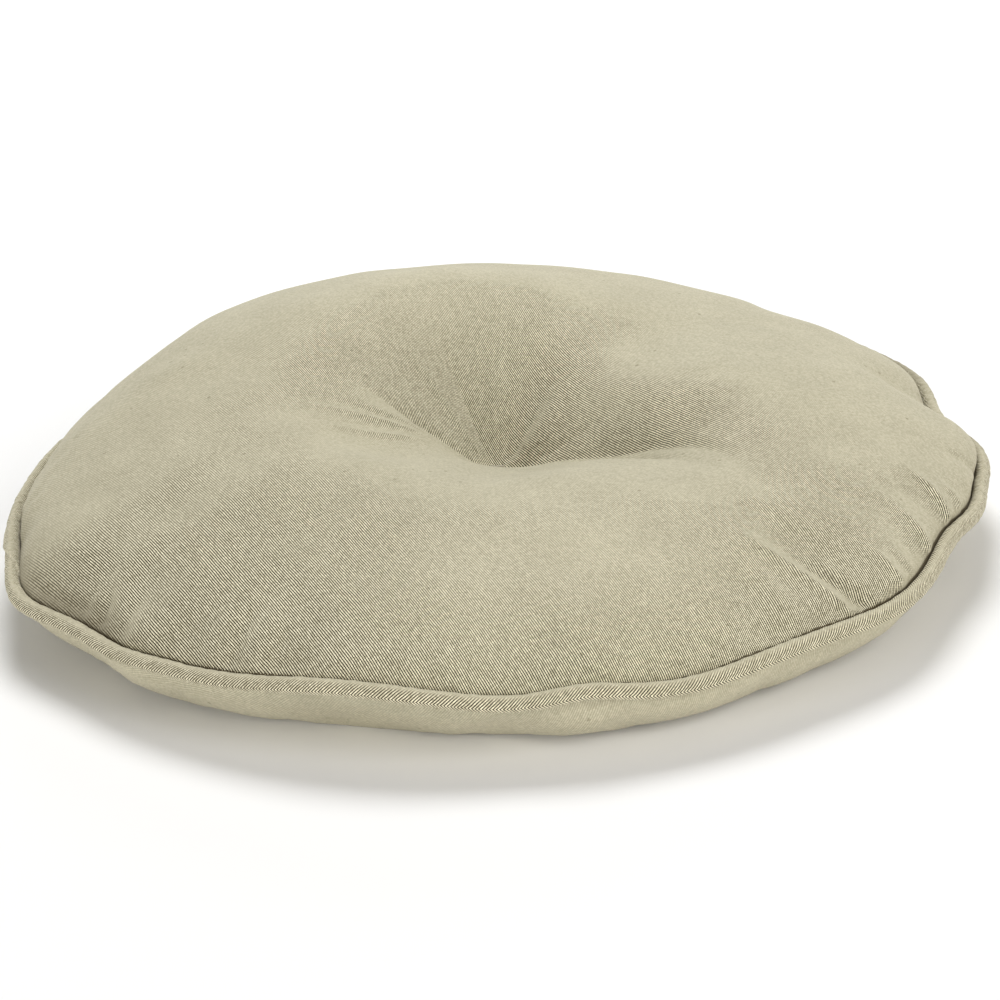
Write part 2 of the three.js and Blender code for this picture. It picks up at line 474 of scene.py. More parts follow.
def addPanelMaps(mesh, grid, row, column, under):
    turns = grid["points"].shape[1]
    topRow = np.maximum(row - grid["seamRow"], 0)
    under = under == 1
    bearing = column * 360 / turns
    angle = np.radians(bearing)
    arc = np.where(under, grid["underArc"][np.minimum(row, grid["seamRow"])], grid["topArc"][topRow])
    fromSeam = grid["topArc"][0] - arc
    # the cloth's own coordinates in millimetres
    x, y = arc * np.cos(angle), arc * np.sin(angle)
    if "flat" in grid:
        flat = grid["flat"][topRow, column % turns]
        x, y = np.where(under, x, flat[:, 0]), np.where(under, y, flat[:, 1])
    addMap(mesh, "weave", x, y)
    # X is how far the weave is hidden and the cloth painted lighter, and Y millimetres from the seam on the
    # top panel
    smoothLit = 0
    for part in pad["smoothLit"]:
        smoothLit = smoothLit + part["amount"] * nearness(bearing, part) * hump(arc, part["middle"], part["spread"])
    addMap(mesh, "panel", np.where(under, 1, smoothLit), np.where(under, farFromSeam, fromSeam))
    # X is how much painted shade darkens the cloth, beside the seam and over the under panel
    hollow = 0
    for part in pad["seamSideShade"]:
        hollow = hollow + part["dark"] * nearness(bearing, part) * hump(fromSeam, 0, part["reach"])
    addMap(mesh, "hollow", np.where(under, pad["underShade"], hollow), 0 * arc)
    # X is millimetres along the seam, and Y how far its line of painted shade reaches
    reach = seam["shadeLineReach"] + sumAt(bearing, pad["seamShadeReach"], "more")
    addMap(mesh, "sewing", column / turns * 2 * math.pi * seam["radius"], reach)


def addMap(mesh, name, x, y):
    layer = mesh.uv_layers.new(name=name)
    layer.uv.foreach_set("vector", np.stack([x, y], -1).astype(np.float32).ravel())


def vertexAt(corner, rings, turns):
    ring, turn = corner
    if ring == 0:
        return 0
    if ring == rings - 1:
        return 1 + (rings - 2) * turns
    return 1 + (ring - 1) * turns + turn % turns


# The camera of the photograph, aimed at the seam's centre

camera = {
    "distance": 1.4,
    "elevation": 23.83,
    "roll": -3.71,
    "lens": 121.97,
    "sensor": 36,
    "shiftX": 0.0033,
    "shiftY": -0.0214,
}


def makeCamera():
    aim = Vector((centre.x, centre.y, seam["height"])) * millimetre
    tilt = math.radians(camera["elevation"])
    place = aim + camera["distance"] * Vector((0, -math.cos(tilt), math.sin(tilt)))
    data = bpy.data.cameras.new("camera")
    data.sensor_width = camera["sensor"]
    data.lens = camera["lens"]
    data.shift_x = camera["shiftX"]
    data.shift_y = camera["shiftY"]
    holder = addObject("camera", data)
    look = (aim - place).to_track_quat("-Z", "Y").to_matrix().to_4x4()
    roll = Matrix.Rotation(math.radians(camera["roll"]), 4, "Z")
    holder.matrix_world = Matrix.Translation(place) @ look @ roll
    scene.camera = holder


# The floor, the lamps and the room's own light

stage = {
    "floorSize": 12,
    "floorColour": (0.86, 0.86, 0.855, 1),
    "roomLight": 0.22,
    "lampSize": 1.2,
    "lampDistance": 2.2,
    "lampAim": 0.04,
    "lamps": table(
        "name bearing elevation power colour",
        ("frontLeft", 225, 12, 23.5, (1, 0.98, 0.95)),
        ("frontRight", 315, 12, 17, (1, 0.97, 0.94)),
        ("frontRightHigh", 315, 35, 17, (1, 0.98, 0.96)),
        ("backHigh", 90, 60, 36.5, (1, 1, 1)),
        ("backLow", 90, 12, 17, (1, 1, 1)),
    ),
}


def makeStage():
    half = stage["floorSize"] / 2
    corners = [(-half, -half, 0), (half, -half, 0), (half, half, 0), (-half, half, 0)]
    mesh = bpy.data.meshes.new("floor")
    mesh.from_pydata(corners, [], [(0, 1, 2, 3)])
    floor = addObject("floor", mesh)
    material, _, shader = newMaterial("paleFloor", roughness=0.9)
    shader.inputs["Base Color"].default_value = stage["floorColour"]
    mesh.materials.append(material)
    for lamp in stage["lamps"]:
        addLamp(lamp)
    world = bpy.data.worlds.new("room")
    world.use_nodes = True
    room = world.node_tree.nodes["Background"].inputs
    room["Color"].default_value = (1, 1, 1, 1)
    room["Strength"].default_value = stage["roomLight"]
    scene.world = world
    scene.view_settings.view_transform = "Standard"


def addLamp(lamp):
    turn = math.radians(lamp["bearing"])
    tilt = math.radians(lamp["elevation"])
    aim = Vector((0, 0, stage["lampAim"]))
    away = Vector((math.cos(turn) * math.cos(tilt), math.sin(turn) * math.cos(tilt), math.sin(tilt)))
    data = bpy.data.lights.new(lamp["name"], "AREA")
    data.shape = "DISK"
    data.size = stage["lampSize"]
    data.energy = lamp["power"]
    data.color = lamp["colour"]
    holder = addObject(lamp["name"], data)
    holder.location = aim + away * stage["lampDistance"]
    holder.rotation_euler = (-away).to_track_quat("-Z", "Y").to_euler()


def addObject(name, data):
    piece = bpy.data.objects.new(name, data)
    scene.collection.objects.link(piece)
    return piece


# Materials: groups for what several cloths share, then one material for each cloth

def newMaterial(name, roughness):
    material = bpy.data.materials.new(name)
    material.use_nodes = True
    tree = material.node_tree
    shader = tree.nodes["Principled BSDF"]
    shader.inputs["Roughness"].default_value = roughness
    return material, tree, shader


def addNode(tree, kind, **inputs):
    # names that start with set_ are the node's own settings and come first. The others are socket
    # names with underscores for spaces, or i0, i1 for sockets by number; a socket makes a link
    node = tree.nodes.new(kind)
    for name, value in inputs.items():
        if name.startswith("set_"):
            setattr(node, name[4:], value)
            continue
        socket = node.inputs[int(name[1:])] if name[1:].isdigit() else node.inputs[name.replace("_", " ")]
        if isinstance(value, bpy.types.NodeSocket):
            tree.links.new(value, socket)
        else:
            socket.default_value = value
    return node


def maths(tree, operation, first, second=0.0, third=0.0):
    node = addNode(tree, "ShaderNodeMath", set_operation=operation, i0=first, i1=second, i2=third)
    return node.outputs[0]


def vectorMaths(tree, operation, first, **second):
    return addNode(tree, "ShaderNodeVectorMath", set_operation=operation, i0=first, **second).outputs[0]


def noiseOf(tree, place, scale, detail, roughness=0.5):
    node = addNode(tree, "ShaderNodeTexNoise", Vector=place, Scale=scale, Detail=detail, Roughness=roughness)
    return node.outputs


def smoothRange(tree, value, low, high, top=1.0):  # 0 at low, easing to top at high
    node = addNode(
        tree,
        "ShaderNodeMapRange",
        set_interpolation_type="SMOOTHSTEP",
        Value=value,
        From_Min=low,
        From_Max=high,
        To_Max=top,
    )
    return node.outputs["Result"]


def mixedColour(tree, share, first, second):
    return addNode(tree, "ShaderNodeMix", set_data_type="RGBA", i0=share, i6=first, i7=second).outputs[2]


def newGroup(name, sockets, results):
    tree = bpy.data.node_groups.new(name, "ShaderNodeTree")
    for label, kind, value in sockets:
        socket = tree.interface.new_socket(label, in_out="INPUT", socket_type="NodeSocket" + kind)
        if value is not None:
            socket.default_value = value
    for label, kind in results:
        tree.interface.new_socket(label, in_out="OUTPUT", socket_type="NodeSocket" + kind)
    start = tree.nodes.new("NodeGroupInput")
    end = tree.nodes.new("NodeGroupOutput")
    return tree, start.outputs, end.inputs


weaveParts = {
    "wanderScale": 0.06,  # how often the yarns wander, for each millimetre
    "slubScale": 0.5,
    "gapEdge": (0.36, 0.62),  # heights between which a yarn comes to cover the gap
    "ribShift": 7.31,  # keeps one rib's shades apart from the next one's
    "shadeScale": 0.22,  # how often a yarn changes shade along its length
}


def plainWeaveGroup():
    # two sets of yarns at right angles: ribs run one way and the crossing yarns break them into
    # beads. Its vector is the cloth's own coordinates in millimetres.
    tree, given, result = newGroup(
        "plainWeave",
        [
            ("Vector", "Vector", None),
            ("Grain", "Float", 0.0),
            ("Rib Pitch", "Float", 0.88),
            ("Bead Pitch", "Float", 0.8),
            ("Wander", "Float", 0.5),
            ("Bead Share", "Float", 0.4),
            ("Thickness", "Float", 0.3),
        ],
        [("Height", "Float"), ("Cover", "Float"), ("Bead Tone", "Float"), ("Yarn Tone", "Float")],
    )
    split = alongTheGrain(tree, given)
    rib = maths(tree, "DIVIDE", split["X"], given["Rib Pitch"])
    bead = maths(tree, "DIVIDE", split["Y"], given["Bead Pitch"])
    # the crossing yarns take their share of the height, and the ribs the rest
    ribShare = maths(tree, "SUBTRACT", 1.0, given["Bead Share"])
    ribPart = maths(tree, "MULTIPLY", roundedWave(tree, rib), ribShare)
    height = maths(tree, "MULTIPLY_ADD", roundedWave(tree, bead), given["Bead Share"], ribPart)
    tree.links.new(height, result["Height"])
    # thick and thin places in the yarns close or open the gaps between them
    slub = noiseOf(tree, given["Vector"], weaveParts["slubScale"], 2.0)["Fac"]
    fuller = maths(tree, "MULTIPLY", maths(tree, "SUBTRACT", slub, 0.5), given["Thickness"])
    cover = smoothRange(tree, maths(tree, "ADD", height, fuller), *weaveParts["gapEdge"])
    tree.links.new(cover, result["Cover"])
    row = maths(tree, "FLOOR", rib)
    cell = addNode(tree, "ShaderNodeCombineXYZ", X=row, Y=maths(tree, "FLOOR", bead))
    fibre = addNode(tree, "ShaderNodeTexWhiteNoise", set_noise_dimensions="2D", Vector=cell.outputs[0])
    tree.links.new(fibre.outputs["Value"], result["Bead Tone"])
    # a yarn changes shade slowly along its own length
    along = addNode(
        tree,
        "ShaderNodeCombineXYZ",
        X=maths(tree, "MULTIPLY", row, weaveParts["ribShift"]),
        Y=maths(tree, "MULTIPLY", split["Y"], weaveParts["shadeScale"]),
    )
    streak = addNode(
        tree,
        "ShaderNodeTexNoise",
        set_noise_dimensions="2D",
        Vector=along.outputs[0],
        Scale=1.0,
        Detail=2.0,
    )
    tree.links.new(streak.outputs["Fac"], result["Yarn Tone"])
    return tree


def alongTheGrain(tree, given):  # across and along the ribs; the yarns never run quite straight
    loose = noiseOf(tree, given["Vector"], weaveParts["wanderScale"], 2.0)["Color"]
    centred = vectorMaths(tree, "SUBTRACT", loose, i1=(0.5, 0.5, 0.5))
    pushed = vectorMaths(tree, "SCALE", centred, Scale=given["Wander"])
    moved = vectorMaths(tree, "ADD", given["Vector"], i1=pushed)
    turned = addNode(
        tree,
        "ShaderNodeVectorRotate",
        set_rotation_type="Z_AXIS",
        Vector=moved,
        Angle=given["Grain"],
    )
    return addNode(tree, "ShaderNodeSeparateXYZ", Vector=turned.outputs[0]).outputs


def roundedWave(tree, phase):  # 0 at whole numbers and 1 half way between them
    turn = maths(tree, "MULTIPLY", phase, 2 * math.pi)
    return maths(tree, "MULTIPLY_ADD", maths(tree, "COSINE", turn), -0.5, 0.5)


heatherParts = {
    "speckleRoughness": 0.65,
    "fuzzScale": 4.0,
    "fuzzRoughness": 0.6,
    "nepScale": 0.14,  # places where a nep may be, for each millimetre
    "nepsLeftOut": 0.8,  # share of them that stays bare
    "nepSize": 0.11,
}


def heatherGroup():
    # the mixed fibres: soft clouds over the whole cloth, a speckle at the size of a few yarns,
    # and the odd dark nep
    tree, given, result = newGroup(
        "heather",
        [("Vector", "Vector", None), ("Speckle Scale", "Float", 0.7), ("Cloud Scale", "Float", 0.035)],
        [("Speckle", "Float"), ("Cloud", "Float"), ("Nep", "Float"), ("Fuzz", "Float")],
    )
    place = given["Vector"]
    speckle = noiseOf(tree, place, given["Speckle Scale"], 3.0, heatherParts["speckleRoughness"])
    cloud = noiseOf(tree, place, given["Cloud Scale"], 3.0)
    fuzz = noiseOf(tree, place, heatherParts["fuzzScale"], 2.0, heatherParts["fuzzRoughness"])
    specks = addNode(tree, "ShaderNodeTexVoronoi", Vector=place, Scale=heatherParts["nepScale"])
    chosen = addNode(tree, "ShaderNodeSeparateColor", Color=specks.outputs["Color"])
    rare = maths(tree, "GREATER_THAN", chosen.outputs[0], heatherParts["nepsLeftOut"])
    small = maths(tree, "LESS_THAN", specks.outputs["Distance"], heatherParts["nepSize"])
    tree.links.new(speckle["Fac"], result["Speckle"])
    tree.links.new(cloud["Fac"], result["Cloud"])
    tree.links.new(fuzz["Fac"], result["Fuzz"])
    tree.links.new(maths(tree, "MULTIPLY", rare, small), result["Nep"])
    return tree


seamShadeParts = {
    "slowScale": 0.05,
    "slowPart": 1.6,  # how unevenly the line reaches, in millimetres
    "dashPart": 0.7,  # how far the welt's yarns break it
    "softness": 0.4,
}


def seamShadeGroup():
    # painted shade: the dark line of shade where a panel dips into the seam, wider in some
    # places and broken by the welt's yarns. Along and Away are millimetres along the seam and from it.
    tree, given, result = newGroup(
        "seamShade",
        [
            ("Along", "Float", 0.0),
            ("Away", "Float", float(farFromSeam)),
            ("Reach", "Float", 3.0),
            ("Dash Pitch", "Float", 1.0),
        ],
        [("Shade", "Float")],
    )
    slow = addNode(
        tree,
        "ShaderNodeTexNoise",
        set_noise_dimensions="1D",
        W=given["Along"],
        Scale=seamShadeParts["slowScale"],
        Detail=3.0,
    )
    dash = roundedWave(tree, maths(tree, "DIVIDE", given["Along"], given["Dash Pitch"]))
    reach = weightedSum(
        tree,
        [(slow.outputs["Fac"], 0.5, seamShadeParts["slowPart"]), (dash, 0.5, seamShadeParts["dashPart"])],
        given["Reach"],
    )
    inside = maths(tree, "SUBTRACT", reach, given["Away"])
    shade = smoothRange(tree, inside, -seamShadeParts["softness"], seamShadeParts["softness"])
    tree.links.new(shade, result["Shade"])
    return tree


def weightedSum(tree, terms, start):
    # start plus each value's distance from its middle times its weight
    total = start
    for value, middle, weight in terms:
        away = maths(tree, "SUBTRACT", value, middle)
        total = maths(tree, "MULTIPLY_ADD", away, weight, total)
    return total


weaveGroup = plainWeaveGroup()
heather = heatherGroup()
seamShade = seamShadeGroup()


def mapParts(tree, name):  # a UV map's own X and Y
    place = addNode(tree, "ShaderNodeUVMap", set_uv_map=name)
    return addNode(tree, "ShaderNodeSeparateXYZ", Vector=place.outputs["UV"]).outputs


def clothMaterial(name, look):
    material, tree, shader = newMaterial(name, roughness=look["roughness"])
    place = addNode(tree, "ShaderNodeUVMap", set_uv_map="weave").outputs["UV"]
    panel = mapParts(tree, "panel")
    weave = addNode(
        tree,
        "ShaderNodeGroup",
        set_node_tree=weaveGroup,
        Vector=place,
        Grain=math.radians(look["grain"]),
        Rib_Pitch=look["ribPitch"],
        Bead_Pitch=look["beadPitch"],
        Wander=look["wander"],
        Bead_Share=look["beadShare"],
        Thickness=look["thickness"],
    ).outputs
    fibres = addNode(
        tree,
        "ShaderNodeGroup",
        set_node_tree=heather,
        Vector=place,
        Speckle_Scale=look["speckleScale"],
    ).outputs
    # seen flat-on the gaps between the yarns show; seen along the cloth the yarns hide them
    facing = addNode(tree, "ShaderNodeLayerWeight", Blend=0.5).outputs["Facing"]
    hidden = smoothRange(tree, facing, look["gapsShow"], look["gapsClose"], look["gapsHidden"])
    hidden = maths(tree, "MAXIMUM", hidden, maths(tree, "MULTIPLY", panel["X"], look["smoothPart"]))
    tone = clothTone(tree, look, weave, fibres, hidden, facing, panel["X"])
    yarn = mixedColour(tree, tone, look["darkYarn"], look["lightYarn"])
    cover = addNode(tree, "ShaderNodeMix", i0=hidden, i2=weave["Cover"], i3=look["cover"]).outputs[0]
    woven = mixedColour(tree, cover, look["gap"], yarn)
    # painted shade: the cloth is darkened beside the seam, under the pad and on parts of the welt
    darkenedColour = mixedColour(tree, mapParts(tree, "hollow")["X"], woven, look["shadeTone"])
    # painted shade: the line of shade where the panel dips into the seam
    seamShadeShare = maths(tree, "MULTIPLY", seamShadeAt(tree, panel["Y"]), look["seamShadeStrength"])
    colour = mixedColour(tree, seamShadeShare, darkenedColour, look["seamShadeTone"])
    tree.links.new(colour, shader.inputs["Base Color"])
    relief = weightedSum(
        tree,
        [(fibres["Fuzz"], 0.5, look["fuzz"]), (fibres["Speckle"], 0.5, look["unevenness"])],
        weave["Height"],
    )
    bump = addNode(tree, "ShaderNodeBump", Height=relief, Strength=1.0, Distance=look["relief"] * millimetre)
    tree.links.new(bump.outputs["Normal"], shader.inputs["Normal"])
    shader.inputs["Sheen Weight"].default_value = look["sheen"]
    shader.inputs["Sheen Roughness"].default_value = look["sheenRoughness"]
    shader.inputs["Specular IOR Level"].default_value = look["specular"]
    return material


def clothTone(tree, look, weave, fibres, hidden, facing, smoothLit):  # 0 is the dark yarn, 1 the light one
    mottle = weightedSum(
        tree,
        [
            (weave["Bead Tone"], 0.5, look["beadTone"]),
            (weave["Yarn Tone"], 0.5, look["yarnTone"]),
            (fibres["Speckle"], 0.5, look["speckle"]),
        ],
        0.0,
    )
    fading = maths(tree, "MULTIPLY_ADD", hidden, -look["mottleFades"], look["mottle"])
    return weightedSum(
        tree,
        [
            (maths(tree, "MULTIPLY", mottle, fading), 0.0, 1.0),
            (fibres["Cloud"], 0.5, look["cloud"]),
            (fibres["Nep"], 0.0, -look["nep"]),
            # painted sheen, by how far the cloth turns from the eye
            (facing, look["paintedSheenFrom"], look["paintedSheen"]),
            # painted highlight on the smoother parts
            (smoothLit, 0.0, look["smoothHighlight"]),
        ],
        0.5,
    )


def seamShadeAt(tree, away):
    sewing = mapParts(tree, "sewing")
    shade = addNode(
        tree,
        "ShaderNodeGroup",
        set_node_tree=seamShade,
        Along=sewing["X"],
        Away=away,
        Reach=sewing["Y"],
    )
    return shade.outputs["Shade"]


panelLook = {
    "grain": 150,  # degrees that turn the ribs to run 60 degrees right of straight away
    "ribPitch": 0.88,
    "beadPitch": 0.8,
    "beadShare": 0.2,
    "thickness": 0.3,
    "wander": 1.0,
    "darkYarn": (0.41, 0.375, 0.25, 1),
    "lightYarn": (0.98, 0.92, 0.69, 1),
    # painted shade: the dark seen in the gaps between the yarns
    "gap": (0.03, 0.026, 0.015, 1),
    "cover": 0.61,  # share of the yarns where no gap can be made out
    "gapsShow": 0.3,  # gaps show in full up to this much turned away from the eye
    "gapsClose": 0.6,
    "gapsHidden": 0.86,
    "smoothPart": 0.8,  # how far the weave is hidden on the smoother parts
    "smoothHighlight": 0.14,  # and how much lighter they are painted, as a painted highlight
    # painted shade: how strong the seam's line of shade is, and its tone
    "seamShadeStrength": 0.9,
    "seamShadeTone": (0.055, 0.038, 0.015, 1),
    # painted shade: the tone that the cloth is darkened towards
    "shadeTone": (0.1, 0.08, 0.045, 1),
    "paintedSheen": 0.14,  # painted sheen: cloth is painted lighter the more it turns away
    "paintedSheenFrom": 0.3,  # and painted darker than its own tone below this much
    "mottle": 1.25,  # how much the yarns' shades differ where the cloth is seen flat-on
    "mottleFades": 0.65,
    "beadTone": 0.38,
    "yarnTone": 0.35,
    "speckleScale": 0.7,
    "speckle": 0.5,
    "cloud": 0.3,
    "nep": 0.35,
    "relief": 0.08,
    "fuzz": 0.25,
    "unevenness": 0.5,
    "roughness": 0.95,
    "sheen": 0.06,
    "sheenRoughness": 0.5,
    "specular": 0.15,
}


# The pad in its cloth

swell = {
    "turns": 210,
    "topRings": 50,
    "dimpleRings": 4,
    "flatRings": 12,
    "sideRings": 9,
    "pressure": 4,
    "frames": 20,
    "extraCloth": 0.012,  # share by which the cloth is larger than the shape it fills
    "cap": 5,  # millimetres that any point may move
    "keep": 0.4,  # share of the wrinkles that is kept
    "quality": 5,
    "floorHold": 1,  # the surface below holds the cloth up to this height
    "tuftHold": 14,  # the thread holds it inside this radius
    "tuftFade": (0.25, 0.55),  # shares out from the tuft between which the wrinkles grow
    "stiffness": 15,
    "bending": 0.1,
    "evenOut": 12,  # columns over which the swelling itself is taken off, so wrinkles are left
    "lumps": 0.5,  # unevenness of the filling, in millimetres
    "lumpSize": 26,
    "lumpLevel": 0.5,  # another value gives other lumps
    "lumpFade": (0.02, 0.15),  # shares from the seam and the tuft between which the lumps grow
}


def swellWrinkles():
    # the filling swells in a coarser copy of the pad whose cloth is cut a little too large: the
    # seam, the tuft and the surface below hold it, and the cloth wrinkles between them
    grid = padGrid(swell, evenRadii(swell["topRings"]))
    moved = swollenMoves(grid)
    rings, turns = grid["points"].shape[:2]
    shift = np.concatenate([
        np.repeat(moved[:1], turns, 0)[None],
        moved[1:-1].reshape(rings - 2, turns, 3),
        np.repeat(moved[-1:], turns, 0)[None],
    ])
    print("Swelling, mm: most", round(float(np.linalg.norm(shift, axis=-1).max()), 1))
    # the sewn shape stays as it is: only what differs from the columns near it is kept
    reach = range(-swell["evenOut"], swell["evenOut"] + 1)
    shift = shift - sum(np.roll(shift, step, 1) for step in reach) / len(reach)
    length = np.linalg.norm(shift, axis=-1, keepdims=True)
    shift = shift * np.minimum(1, swell["cap"] / np.maximum(length, tiny))
    print("Wrinkles, mm: most", round(float(length.max()), 1), "mean", round(float(length.mean()), 2))
    return shift, grid["place"]


def swollenMoves(grid):  # how far the filling pushes each point, in millimetres
    mesh = closedMesh("swellingPad", grid)
    body = addObject("swellingPad", mesh)
    body.vertex_groups.new(name="held").add(heldPoints(grid), 1, "REPLACE")
    cloth = body.modifiers.new("swell", "CLOTH")
    settings = cloth.settings
    settings.quality = swell["quality"]
    settings.tension_stiffness = swell["stiffness"]
    settings.compression_stiffness = swell["stiffness"]
    settings.bending_stiffness = swell["bending"]
    settings.shrink_min = -swell["extraCloth"]
    settings.use_pressure = True
    settings.uniform_pressure_force = swell["pressure"]
    settings.effector_weights.gravity = 0
    settings.vertex_group_mass = "held"
    cloth.collision_settings.use_collision = False
    cloth.point_cache.frame_end = swell["frames"]
    for step in range(1, swell["frames"] + 1):
        scene.frame_set(step)
    swollen = body.evaluated_get(bpy.context.evaluated_depsgraph_get())
    moved = (meshPoints(swollen.data) - meshPoints(mesh)) / millimetre
    scene.frame_set(1)
    bpy.data.objects.remove(body)
    bpy.data.meshes.remove(mesh)
    return moved


def heldPoints(grid):
    x, y, up = np.moveaxis(grid["points"], -1, 0)
    held = (up < swell["floorHold"]) | (np.hypot(x, y) < swell["tuftHold"])
    held[grid["seamRow"]] = True
    return np.flatnonzero(np.concatenate([held[0, :1], held[1:-1].ravel(), held[-1, :1]])).tolist()


def meshPoints(mesh):
    points = np.empty(len(mesh.vertices) * 3, np.float32)
    mesh.vertices.foreach_get("co", points)
    return points.reshape(-1, 3)


def addWrinkles(grid):
    shift, place = swellWrinkles()
    turns = grid["points"].shape[1]
    # the tuft's own folds stay as they are
    kept = swell["keep"] * ease(2 - place, *swell["tuftFade"])
    column = np.arange(turns) * shift.shape[1] / turns
    shift = shift * kept[:, None, None]
    shift = throughRows(shift, np.interp(grid["place"], place, np.arange(len(place))))
    grid["points"] = grid["points"] + throughColumns(shift, column)


def addLumps(grid):
    x, y, up = np.moveaxis(grid["points"], -1, 0)
    size, level = swell["lumpSize"], swell["lumpLevel"]
    lump = np.array([
        noise.noise(Vector((across / size, along / size, level)))
        for across, along in zip(x.ravel(), y.ravel())
    ]).reshape(x.shape)
    fade = swell["lumpFade"]
    onTop = ease(grid["place"] - 1, *fade) * ease(2 - grid["place"], *fade)
    grid["points"][..., 2] = up + swell["lumps"] * 2 * lump * onTop[:, None]


def makeCushion():
    grid = padGrid(pad, closeRadii(pad["topRings"]))
    addWrinkles(grid)
    addLumps(grid)
    grid["flat"] = flatPattern(grid["points"][grid["seamRow"]:])
    grid["points"] = grid["points"] + np.array(centre)
    mesh = closedMesh("cushionCloth", grid)
    cushion = addObject("cushionCloth", mesh)
    mesh.materials.append(clothMaterial("panelCloth", panelLook))
    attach(cushion, "root")
    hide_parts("cushion")
    print("Cushion:", len(mesh.vertices), "points")
    makeTuftThread(grid["points"][-1, 0, 2], grid["points"][0, 0, 2])


# The tuft's thread: two short stitches over the cloth, deep in the dimples above and below

tuftThread = {
    "radius": 0.7,
    "span": 9,  # from one end of a stitch to the other
    "arch": 1.2,
    "turns": (38, 128),  # the directions of the two stitches
    "steps": 20,
    "sides": 10,
    "ply": 0.16,  # how far the thread's twist shows
    "twist": 9,  # in radians over half a stitch
    # partly painted shade: the thread's own colour, darkened for the shade deep in the dimple
    "colour": (0.4, 0.37, 0.28, 1),
    "fibreScale": 900.0,
    "fibreShade": (0.7, 1.1),
}


def stitchPoints(turn, top, flip):  # one stitch's rings, in millimetres
    sides = tuftThread["sides"]
    along = np.linspace(-1, 1, tuftThread["steps"])[:, None]
    line = np.array([math.cos(math.radians(turn)), math.sin(math.radians(turn)), 0])
    across = np.array([-line[1], line[0], 0])
    up = np.array([0, 0, flip])
    middle = along * line * tuftThread["span"] / 2 + (1 - along ** 2) * up * tuftThread["arch"]
    middle = middle + np.array([0, 0, top])
    angle = np.arange(sides) * 2 * math.pi / sides
    ply = np.cos(2 * (angle[None] + along * tuftThread["twist"]))
    thick = tuftThread["radius"] + tuftThread["ply"] * ply
    rings = across * np.cos(angle)[None, :, None] + up * np.sin(angle)[None, :, None]
    return middle[:, None] + rings * thick[..., None] + np.array(centre)


def makeTuftThread(topMiddle, underMiddle):
    stitches = []
    faces = []
    steps, sides = tuftThread["steps"], tuftThread["sides"]
    for turn in tuftThread["turns"]:
        for top, flip in ((topMiddle, 1), (underMiddle, -1)):
            start = len(stitches) * steps * sides
            stitches.append(stitchPoints(turn, top, flip))
            for step in range(steps - 1):
                for side in range(sides):
                    here = start + step * sides
                    there = here + sides
                    nextSide = (side + 1) % sides
                    faces.append([here + side, here + nextSide, there + nextSide, there + side])
            faces.append(list(range(start, start + sides))[::-1])
            faces.append(list(range(start + (steps - 1) * sides, start + steps * sides)))
    mesh = smoothMesh("tuftThread", np.concatenate(stitches), faces)
    mesh.materials.append(threadMaterial())
    thread = addObject("tuftThread", mesh)
    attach(thread, "root")
    print("Tuft thread:", len(mesh.vertices), "points")


def threadMaterial():
    material, tree, shader = newMaterial("tuftThread", roughness=0.7)
    place = addNode(tree, "ShaderNodeTexCoord").outputs["Object"]
    fibre = noiseOf(tree, place, tuftThread["fibreScale"], 2.0)["Fac"]
    low, high = tuftThread["fibreShade"]
    shade = addNode(tree, "ShaderNodeMapRange", Value=fibre, To_Min=low, To_Max=high).outputs["Result"]
    colour = addNode(
        tree,
        "ShaderNodeMix",
        set_data_type="RGBA",
        set_blend_type="MULTIPLY",
        i0=1.0,
        i6=tuftThread["colour"],
        i7=shade,
    )
    tree.links.new(colour.outputs[2], shader.inputs["Base Color"])
    return material


# The welt: a cord in a bias strip of the same cloth

welt = {
    "turns": 2400,
    "sides": 36,
    "chevron": -10,  # the strip's fold runs here round the cord; 0 is outward and 90 up
    "section": table(  # ridges and grooves along the cord, by their place round it
        "at width rise",
        (74, 22, 0.18),  # the strip's turned edge
        (50, 7, -0.16),
        (-40, 8, 0.22),  # the fold's lower edge
        (-56, 7, -0.2),
    ),
    "smooth": table("at width rise", (80, 26, 0.9), (-42, 12, 0.8)),  # where no weave shows, painted a little lighter as a highlight
    "ripples": 0.1,  # how uneven the cord's thickness is, in millimetres
    "rippleTurns": (41, 67, 113, 171, 233),
    "rippleShift": 1.7,  # sets each ripple off from the last, in radians
    "lap": {  # of the strip's two ends, with its lengths in millimetres
        "at": -166.6,
        "slant": 0.056,  # degrees along the seam for each degree round the cord
        "middle": 45,  # place round the cord where its edge has the bearing above
        "edge": 4 / 3,  # how far back from its edge it stands up in full
        "rise": 0.8,
        "run": 26,
        "light": 8,  # the folded edge catches the light
        "lightAt": -0.7,
        "lightWidth": 0.8,
        "shadow": 0.4,  # and shades the cloth below it
        "shadowAt": 0.5,
        "shadowWidth": 0.6,
    },
    "weltShade": table("at width dark", (29, 9, 0.4), (2, 5, 0.25)),  # painted shade on parts of its way round
}

weltLook = dict(
    panelLook,
    grain=45,
    beadPitch=0.88,
    # painted shade in the gaps between the welt's yarns
    gap=(0.06, 0.05, 0.032, 1),
    beadShare=0.12,
    wander=0.6,
    cloud=0.2,
    gapsShow=0.6,
    gapsClose=0.98,
    smoothPart=1,
    smoothHighlight=0.06,
)


def ripple(bearing):  # the same small unevenness each time
    angle = np.radians(bearing)
    shift = welt["rippleShift"]
    waves = [np.sin(turns * angle + shift * place) for place, turns in enumerate(welt["rippleTurns"])]
    return welt["ripples"] * sum(waves) / len(waves) ** 0.5


def pastLap(bearing, around):  # millimetres past the lap's edge
    lap = welt["lap"]
    roundCord = turnFrom(lap["middle"], around)
    return np.radians(turnFrom(lap["at"] + lap["slant"] * roundCord, bearing)) * seam["radius"]


def lapRise(bearing, around):
    # the strip's far end lies over its start: it stands up at a slanting edge and thins away
    lap = welt["lap"]
    past = pastLap(bearing, around)
    return lap["rise"] * ease(-past, 0, lap["edge"]) * ease(past, -lap["run"], 0)


